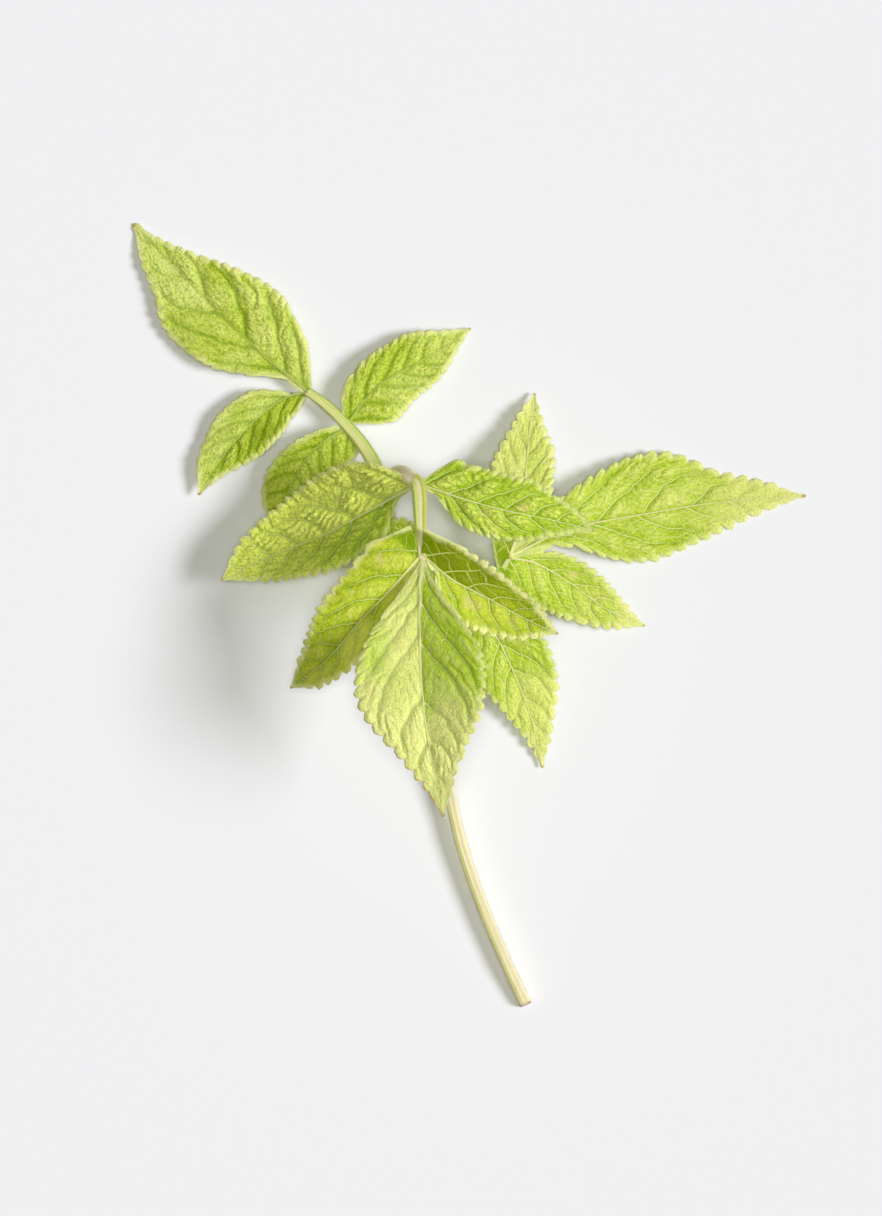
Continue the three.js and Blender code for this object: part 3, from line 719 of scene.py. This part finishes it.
# The faces of a slab whose upper and lower sides are the same grid of points.
def slabFaces(rowCount, columnCount):
    index = np.arange(rowCount * columnCount).reshape(rowCount, columnCount)
    a, b, c, d = index[:-1, :-1], index[:-1, 1:], index[1:, 1:], index[1:, :-1]
    below = index.size
    upper = np.stack([a, d, c, b], -1).reshape(-1, 4)
    lower = np.stack([a, b, c, d], -1).reshape(-1, 4) + below
    loop = np.concatenate([index[0, :-1], index[:-1, -1], index[-1, :0:-1], index[:0:-1, 0]])
    after = np.roll(loop, -1)
    rim = np.stack([loop, after, after + below, loop + below], -1)
    return np.concatenate([upper, lower, rim]), len(upper)


# Makes one leaflet's blade, and gives the roots and directions of the hairs along its margin.
def makeLeaflet(name, leaf, seed, material):
    form = bladeForm
    leaf = {**plainLeaflet, **leaf}
    length = pathLength(leaf["rib"])
    u, x, share, side, width, tooth, lobe, toothed = toothedGrid(leaf, length, seed)
    onLeft = side > 0
    cellLength = leaf["cellLength"]

    point = bladeMiddle(leaf, u, x)
    marginDistance = (1 - share) * width

    def noise(size, number):
        return swell(point[..., 0] / size, point[..., 1] / size, seed + number)

    wave = noise(form["waveLength"], 1)
    point[..., 2] += form["waveHeight"] * smooth(share, 0.25, 1.0) * wave * smooth(u, 0.05, 0.25)
    normal = unit(np.cross(np.gradient(point, axis=0), np.gradient(point, axis=1)))
    normal = np.where(normal[..., 2:] < 0, -normal, normal)

    # side veins, with a vein wherever the phase is a whole number; none is quite straight
    broadWarp, fineWarp = noise(form["warpLengths"][0], 2), noise(form["warpLengths"][1], 8)
    start = veinStart(u, share, leaf["veinReach"])
    start = start + smooth(share, 0, 0.3) * (0.02 * broadWarp + 0.008 * fineWarp)
    leftVeins, rightVeins = leaf["leftVeins"], leaf["rightVeins"]
    vein = np.where(
        onLeft,
        np.interp(start, leftVeins, np.arange(len(leftVeins))),
        np.interp(start + leaf["veinOffset"], rightVeins, np.arange(len(rightVeins))) + 20,
    )
    between = np.clip(spacingOf(vein, point), 0.4, 12)
    toVein = toNearest(vein) * between
    pleat = pillow(toVein, np.clip(between * 0.45, 0.35, 2.2))

    # two branches leave each side vein towards the base and run out to the edge beside it
    outward = np.ceil(vein) - vein
    for begins, ends, away in form["branches"]:
        leaves = away * smooth(share + 0.12 * broadWarp, begins, ends)
        toBranch = np.abs(outward - leaves) * between
        branched = pillow(toBranch + 0.25, np.clip(between * 0.3, 0.5, 1.2))
        pleat = np.minimum(pleat, 1 - (1 - branched) * smooth(share, begins, begins + 0.15))

    # cross veins leave each side vein outwards and then bend forward, and wander on their way
    gap = outward * between
    alongVein = np.abs(x) / 0.62 - 0.45 * gap - 0.07 * gap * gap
    band = cellNumber(np.ceil(vein), side + 5, seed + 12)
    cellPhase = alongVein / cellLength + 3 * band + 0.3 * broadWarp + 0.2 * fineWarp
    toCell = toNearest(cellPhase) * cellLength * 0.9
    deepCells = pillow(toCell, min(0.95, 0.36 * cellLength))

    # a finer net splits the cells, in pieces of its own shapes
    netSize = form["netSize"]
    netAcross = vein * np.maximum(between / netSize, 1).mean()
    toWall = netOf(netAcross, alongVein / netSize, seed + 4) * netSize
    net = pillow(toWall, 0.5, 2.2)

    # each tooth has a pillow of its own, parted from the next by a branch that runs to the notch
    notch = toNearest(tooth) * length / leaf["teeth"]
    parted = pillow(notch, 0.95) * toothed
    nearEdge = smooth(marginDistance + 0.4 * broadWarp, 2.0, 0.8) * smooth(share, 0.3, 0.55)
    toRib = np.abs(x)
    ribHalf = np.interp(u, [0, 0.4, 1], leaf["ribWidths"])
    beside = pillow(toRib, 1.4)
    pucker = np.where(onLeft, *leaf["pucker"]) * smooth(u, -0.02, 0.12)
    pucker = pucker * (1 - 0.7 * smooth(u, 0.74, 0.97))
    narrow = np.clip(between / 4.2, 0.3, 1)
    quilt = leaf["quilt"] * deepCells * np.sqrt(pleat) * (0.6 + 0.5 * broadWarp)
    inner = (form["pleatHeight"] * pleat + form["cellHeight"] * quilt) * narrow
    lobes = form["toothHeight"] * parted + 0.4 * form["pleatHeight"] * pleat * narrow
    thinning = 0.35 + 0.65 * smooth(marginDistance, -0.1, 0.8)
    relief = inner * (1 - nearEdge) + lobes * nearEdge * thinning
    relief = relief + leaf["netShare"] * form["netHeight"] * net * np.sqrt(pleat)
    relief = relief * (1 + 0.18 * broadWarp) * beside * pucker
    full = (form["pleatHeight"] + form["cellHeight"]) * np.maximum(pucker, 0.3)
    height = np.clip(relief / full, 0, 1.2)
    relief = relief - form["sunk"] * full * beside

    thinner = form["edgeThickness"] - form["thickness"]
    thick = form["thickness"] + thinner * smooth(marginDistance, form["edgeReach"], 0)
    ridge = np.sqrt(np.maximum(1 - (toRib / (ribHalf * 1.4)) ** 2, 0)) * smooth(u, 1.0, 0.7)
    keel = np.sqrt(np.maximum(1 - (toRib / (ribHalf * 2.2)) ** 2, 0))
    keel = keel * np.interp(u, [0, 1], [1, 0.15])
    veinKeel = np.exp(-((toVein / 0.28) ** 2)) * (1 - share) * smooth(u, 0.0, 0.1)
    above = thick / 2 + relief + form["ribHeight"] * ridge
    under = relief * 0.85 - thick / 2 - form["ribBelow"] * keel - form["veinBelow"] * veinKeel
    top, bottom = point + normal * above[..., None], point + normal * under[..., None]
    bottom[..., 2] = np.maximum(bottom[..., 2], 0.02)
    top[..., 2] = np.maximum(top[..., 2], bottom[..., 2] + thick * 0.8)

    blotch = np.zeros_like(u)
    for along, sideways, radius, strength in leaf["blotches"]:
        far = np.hypot((u - along) * length, x - sideways * width)
        ragged = radius * (1 + 0.45 * noise(1.7, 5))
        blotch = np.maximum(blotch, strength * smooth(far, ragged * 1.4, ragged * 0.2))
    toothEnds = np.where(onLeft, *leaf["singed"]) * smooth(marginDistance, 0.4, 0) * lobe
    scorch = np.maximum(0.7 * smooth(u, 0.978, 1.0), toothEnds * smooth(u, 0.4, 0.6))
    # each half's tone, partly its own paleness and partly painted light and painted shade, with a
    # random wander
    leftTone, rightTone = (np.interp(u, [0, 0.5, 1], tonesAndLight) for tonesAndLight in leaf["tonesAndLight"])
    toneAndLight = np.where(onLeft, leftTone, rightTone) + 0.3 * noise(5, 6)
    sideHalf = np.interp(share, [0, 1], form["sideWidth"])
    veinHere = smooth(share, 0.95, 0.55) * smooth(between, 0.7, 1.6)
    rungHere = veinHere * smooth(toVein, 0.0, 0.3)  # cross veins stop short of the side veins
    rungWidths = cellLength * 5.5
    upper = {
        "edges": (toRib / ribHalf, marginDistance, u),
        "sideVein": (vein, between / sideHalf, veinHere),
        "rung": (cellPhase, rungWidths, rungHere),
        "form": (height, toWall, 0),
        "marks": (blotch, scorch, toneAndLight),
    }
    lower = {
        **upper,
        "rung": (cellPhase, rungWidths, veinHere),
        "form": (height, toWall, 1),
        "marks": (blotch * 0.5, scorch, toneAndLight),
    }

    def stacked(layers):
        return np.stack([np.broadcast_to(layer, u.shape) for layer in layers], -1).reshape(-1, 3)

    values = {key: np.concatenate([stacked(upper[key]), stacked(lower[key])]) for key in upper}
    faces, upperCount = slabFaces(*u.shape)
    points = np.concatenate([top.reshape(-1, 3), bottom.reshape(-1, 3)])
    # turned round if they look inwards
    corner = points[faces[upperCount // 2]]
    if np.cross(corner[1] - corner[0], corner[2] - corner[0])[2] < 0:
        faces = faces[:, ::-1]
    makePiece(name + "_blade", points, faces, values, material, name)

    roots, ways = [], []
    for column, inside in ((0, 2), (-1, -3)):
        roots.append((top[:, column] + bottom[:, column]) / 2)
        ways.append(unit(top[:, column] - top[:, inside]) + np.array([0, 0, hairForm["lift"]]))
    return np.concatenate(roots), np.concatenate(ways)


leafMaterials = {
    key: sageLeafMaterial("sageLeaf" + key.capitalize(), look) for key, look in leafLooks.items()
}
fringe = [
    makeLeaflet(name, leaf, 40 * order + 11, leafMaterials[leaf["look"]])
    for order, (name, leaf) in enumerate(leaflets.items())
]
roots, ways = (np.concatenate(parts) for parts in zip(*fringe))
places = np.arange(len(roots))
jitter = np.stack([cellNumber(places, places * 0 + k, 5) - 0.5 for k in range(3)], -1)
shortest, more = hairForm["fringe"]
lengths = shortest + more * cellNumber(places, places * 0, 6)
makeHairs("leaf_hairs", roots, ways + hairForm["jitter"] * jitter, lengths)
print("leaflets made:", len(leaflets), "with", len(roots), "hairs on their margins")


stemForm = dict(
    ringStep=0.35,  # mm
    sides=48,
    channelReach=0.7,  # half the angle that the channel along its top takes up
    ribs=9,
    ribHeight=0.035,
    lumpLength=2.5,  # mm from one soft lump to the next
    lumpHeight=0.04,
    slantReach=0.5,  # mm from the cut end that its slant fades over
    capRings=[0.93, 0.75, 0.5, 0.25, 0.06],  # the rings that close an end, as shares of its width
    cutFace=[0.5, 0.7, 0.95, 1.0, 1.0],  # from rim to pith on those rings
)

# Each runs through its points in millimetres; the widths, channels and corners are those of its
# solid. slimEnd is the share of its width that is left at its far end, where it becomes a midrib.
stems = dict(
    main_stem=dict(
        path=[[12.8, -85.7, 1.3], [9.1, -77.8, 2.5], [4.2, -66.4, 2.8], [-0.2, -54.3, 3.1],
              [-2.6, -45.5, 3.4], [-4.8, -35.2, 3.7], [-7.5, -19.9, 4.2], [-9.3, -7.8, 4.4],
              [-12.6, 5.8, 4.9], [-16.1, 17.9, 5.4], [-18.4, 26.6, 6]],
        radii=[1.38, 1.28], flat=1, groove=0.1, squareness=0.07, cutSlant=0.35,
        slimEnd=1, slot="stem", look="stem", hairs=3200,
    ),
    left_leaf_stalk=dict(
        path=[[-18.9, 27.3, 6], [-20.3, 32.4, 6], [-23, 37.2, 5.4], [-26.2, 41.2, 4.8],
              [-30.8, 45.8, 4.2], [-35.2, 49, 3.7]],
        radii=[1.7, 1], flat=0.8, groove=0.3, squareness=0, cutSlant=0,
        slimEnd=1, slot="stalk", look="left", hairs=700,
    ),
    front_leaf_stalk=dict(
        path=[[-18.4, 26.9, 7.6], [-17.7, 28.4, 11], [-16.9, 29.8, 15.5], [-16, 30.4, 20],
              [-15, 30.7, 24], [-13.7, 30.5, 27], [-12, 29.3, 29], [-10.8, 27.8, 30],
              [-10.4, 23.5, 30.6], [-10.2, 17.1, 31], [-9.9, 12.3, 31]],
        radii=[1.5, 1.65], flat=0.8, groove=0.35, squareness=0, cutSlant=0,
        slimEnd=0.6, slot="stalk", look="front", hairs=1100,
    ),
    right_leaf_stalk=dict(
        path=[[-9.3, -7.3, 4.4], [-7.4, -4.3, 5.2], [-3.9, 0.1, 5.8], [0.6, 3, 6], [6, 7.6, 6.2],
              [9.3, 12.8, 7.9]],
        radii=[1.25, 0.95], flat=0.85, groove=0.25, squareness=0, cutSlant=0,
        slimEnd=0.5, slot="stalk", look="right", hairs=400,
    ),
)

stemLooks = dict(
    stem=dict(skin="#F0E6BC", shade="#DAD08C"),
    left=dict(skin="#DFE28E", shade="#C0CC66"),
    front=dict(skin="#CDD276", shade="#AFC043"),
    right=dict(skin="#D8DA8F", shade="#BCC763"),
)


# How much of the beige ridge, green flange, mauve nap and green flute shows at each place; on the
# main stem the flute's green is also painted shade on its side away from the light.
def stemTints(look, along, angle):
    aside, above = np.cos(angle), np.sin(angle)
    fromTop = np.abs(angle - math.pi / 2)
    none = 0 * along
    if look == "front":
        rachis = smooth(along, 0.6, 0.68)
        ridgeWidth = 0.24 + 0.5 * smooth(along, 0.86, 0.96)
        ridge = 0.85 * np.exp(-(((angle - math.pi / 2 + 0.12) / ridgeWidth) ** 2)) * rachis
        flange = 0.2 * smooth(-aside, 0.2, 0.6) * rachis * smooth(along, 0.96, 0.88)
        mauve = 0.9 * smooth(along, 0.66, 0.58)
        return ridge, flange, mauve, smooth(aside, 0.2, 0.55) * rachis
    if look == "left":
        ridge = 0.3 * np.exp(-(((aside - 0.1) / 0.35) ** 2))
        flange = 0.95 * smooth(-aside, 0.55, 0.8) * smooth(above, -0.6, 0.2)
        return ridge, flange, none, none
    if look == "right":
        return 0.5 * np.exp(-((fromTop / 0.6) ** 2)), 0.5 * smooth(fromTop, 0.9, 1.4), none, none
    # painted shade on the side away from the light, and a darker line along the left third that is
    # partly a real flute and partly painted shade
    crease = np.exp(-(((aside - 0.42) / 0.15) ** 2)) * smooth(above, 0.0, 0.5)
    return none, none, none, 0.4 * smooth(aside, 0.1, 0.5) + 0.5 * crease


def makeStem(name, stem, seed, material):
    form = stemForm
    sides = form["sides"]
    length = pathLength(stem["path"])
    rings = int(round(length / form["ringStep"]))
    t = np.linspace(0, 1, rings + 1)
    ahead = heading(stem["path"], t)
    left = unit(np.stack([-ahead[:, 1], ahead[:, 0], 0 * t], -1))
    up = np.cross(ahead, left)
    angle = np.linspace(0, 2 * math.pi, sides, endpoint=False)[None, :] + np.zeros((rings + 1, 1))
    along = t[:, None] + 0 * angle
    corner = 1 - stem["squareness"] * np.cos(4 * angle)
    fromTop = np.minimum(np.abs(angle - math.pi / 2) / form["channelReach"], 1)
    channel = stem["groove"] * np.cos(fromTop * math.pi / 2)
    radius = stem["radii"][0] + (stem["radii"][1] - stem["radii"][0]) * along
    radius = radius * (1 + (stem["slimEnd"] - 1) * smooth(along, 0.75, 1.0))
    ribs = form["ribHeight"] * np.cos(form["ribs"] * angle + 2 * swell(along * 6, angle * 0, seed))
    lumps = form["lumpHeight"] * swell(along * length / form["lumpLength"], angle * 1.5, seed + 1)
    scale = radius + ribs + lumps
    aside = corner * np.cos(angle) * scale
    above = stem["flat"] * (corner * np.sin(angle) - channel) * scale
    outward = left[:, None, :] * aside[..., None] + up[:, None, :] * above[..., None]
    nearCut = np.exp(-along * length / form["slantReach"])
    slant = ahead[:, None, :] * (stem["cutSlant"] * above * nearCut)[..., None]
    point = through(stem["path"], t)[:, None, :] + outward + slant
    point[..., 2] = np.maximum(point[..., 2], 0.02)

    # both ends are closed by rings that shrink to the middle, and a last point
    def capOf(ring, depth):
        middle = ring.mean(0)
        return np.array([middle + (ring - middle) * s + depth * (1 - s) for s in form["capRings"]])

    firstCap = capOf(point[0], ahead[0] * 0.25)[::-1]
    lastCap = capOf(point[-1], ahead[-1] * 0.3)
    allRings = np.concatenate([firstCap, point, lastCap])
    index = np.arange(len(allRings) * sides).reshape(-1, sides)
    after = np.roll(index, -1, axis=1)
    faces = np.stack([index[:-1], after[:-1], after[1:], index[1:]], -1).reshape(-1, 4)
    points = np.concatenate([allRings.reshape(-1, 3), firstCap[:1].mean(1), lastCap[-1:].mean(1)])
    pairs = np.arange(0, sides, 2)
    beyond = (pairs + 2) % sides
    first, last = np.full(sides // 2, len(points) - 2), np.full(sides // 2, len(points) - 1)
    startFan = np.stack([first, index[0, beyond], index[0, pairs + 1], index[0, pairs]], -1)
    endFan = np.stack([last, index[-1, pairs], index[-1, pairs + 1], index[-1, beyond]], -1)
    faces = np.concatenate([faces, startFan, endFan])

    # the skin's values, carried over both caps; a cut face has its own
    isCut = stem["cutSlant"] > 0
    cutSkin = 0.55 * np.exp(-along * length / 0.9) * isCut
    below = smooth(np.sin(angle), 0.1, -0.8)
    ridge, flange, mauve, fluteAndShade = stemTints(stem["look"], along, angle)
    capCount = len(form["capRings"])
    source = np.clip(np.arange(-capCount, rings + 1 + capCount), 0, rings)
    values = {
        "place": (along * length, angle * radius, below),
        "marks": (ridge, flange, cutSkin),
        "tints": (mauve, fluteAndShade, 0 * along),
    }
    for key, layers in values.items():
        whole = np.stack(layers, -1)[source]
        if isCut and key == "marks":
            whole[:capCount, :, 2] = np.array(form["cutFace"])[::-1, None]
        values[key] = np.concatenate([whole.reshape(-1, 3), whole[0, :1], whole[-1, :1]])
    makePiece(name + "_skin", points, faces, values, material, name)

    # hairs stand out all round, a little forward
    count = stem["hairs"]
    one = np.arange(count)
    ring = (cellNumber(one, one * 0, seed + 3) * rings).astype(int)
    turn = (cellNumber(one, one * 0 + 1, seed + 4) * sides).astype(int)
    jitter = np.stack([cellNumber(one, one * 0 + k, seed + 5) - 0.5 for k in range(3)], -1)
    ways = unit(outward[ring, turn]) + hairForm["lift"] * ahead[ring] + hairForm["jitter"] * jitter
    shortest, more = hairForm["stem"]
    lengths = shortest + more * cellNumber(one, one * 0 + 2, seed + 6)
    makeHairs(name + "_hairs", point[ring, turn], ways, lengths)


for order, (name, stem) in enumerate(stems.items()):
    material = herbStemMaterial("herbStem" + stem["look"].capitalize(), stemLooks[stem["look"]])
    makeStem(name, stem, 900 + 20 * order, material)
print("stems made:", len(stems))


studio = dict(
    tableReach=6.0,  # metres from its middle to each edge
    tableColour="#F1F1F3",
    roomShare=0.075,  # how much of the table's light comes from all round
    fillColour="#FFFFF2",
)

# Each gives the table its share of light, from height degrees up and bearing degrees
# anticlockwise from +X. spread, degrees across, sets how soft a shadow's edge is.
suns = dict(
    softKey=dict(share=0.583, colour="#F5F5FF", spread=22, height=43.7, bearing=-4),
    overhead=dict(share=0.39, colour=studio["fillColour"], spread=12, height=90, bearing=0),
)

cameraFit = dict(
    height=1500,  # mm above the table
    over=[-5.83, 1.43],  # mm, the point straight below it
    frameHeight=267.5,  # mm of table from the frame's bottom to its top
    sensor=36,
    nearest=0.1,  # metres, and the furthest that it sees
    furthest=20,
)


def makeTable():
    far = studio["tableReach"]
    mesh = bpy.data.meshes.new("table")
    corners = [(-far, -far, 0), (far, -far, 0), (far, far, 0), (-far, far, 0)]
    mesh.from_pydata(corners, [], [(0, 1, 2, 3)])
    table = addObject("table", mesh)
    material, tree = newMaterial("mattWhitePaper")
    paper = {"Base Color": studio["tableColour"], "Roughness": 0.95, "Specular IOR Level": 0.0}
    addNode(tree, "OutputMaterial", {0: addNode(tree, "BsdfPrincipled", paper)})
    mesh.materials.append(material)


def makeSun(name, share, colour, spread, height, bearing):
    sun = bpy.data.lights.new(name, "SUN")
    sun.energy = math.pi * share / math.sin(math.radians(height))
    sun.color = linearColour(colour)[:3]
    sun.angle = math.radians(spread)
    addObject(name, sun).rotation_euler = (0, math.radians(90 - height), math.radians(bearing))


def makeLights():
    for name, sun in suns.items():
        makeSun(name, **sun)
    world = bpy.data.worlds.new("paleRoom")
    world.use_nodes = True
    bpy.context.scene.world = world
    tree = world.node_tree
    tree.nodes.clear()
    sky = addNode(tree, "Background", {0: studio["fillColour"], 1: studio["roomShare"]})
    addNode(tree, "OutputWorld", {0: sky})


def makeCamera():
    lens = bpy.data.cameras.new("topCamera")
    lens.sensor_width = cameraFit["sensor"]
    lens.lens = cameraFit["sensor"] * cameraFit["height"] / cameraFit["frameHeight"]
    lens.clip_start, lens.clip_end = cameraFit["nearest"], cameraFit["furthest"]
    camera = addObject("topCamera", lens)
    camera.location = [part * mm for part in (*cameraFit["over"], cameraFit["height"])]
    bpy.context.scene.camera = camera


makeTable()
makeLights()
makeCamera()
bpy.context.scene.view_settings.view_transform = "Standard"
print("table, lights and camera made;", sum(pieceTriangles.values()), "triangles in all pieces")
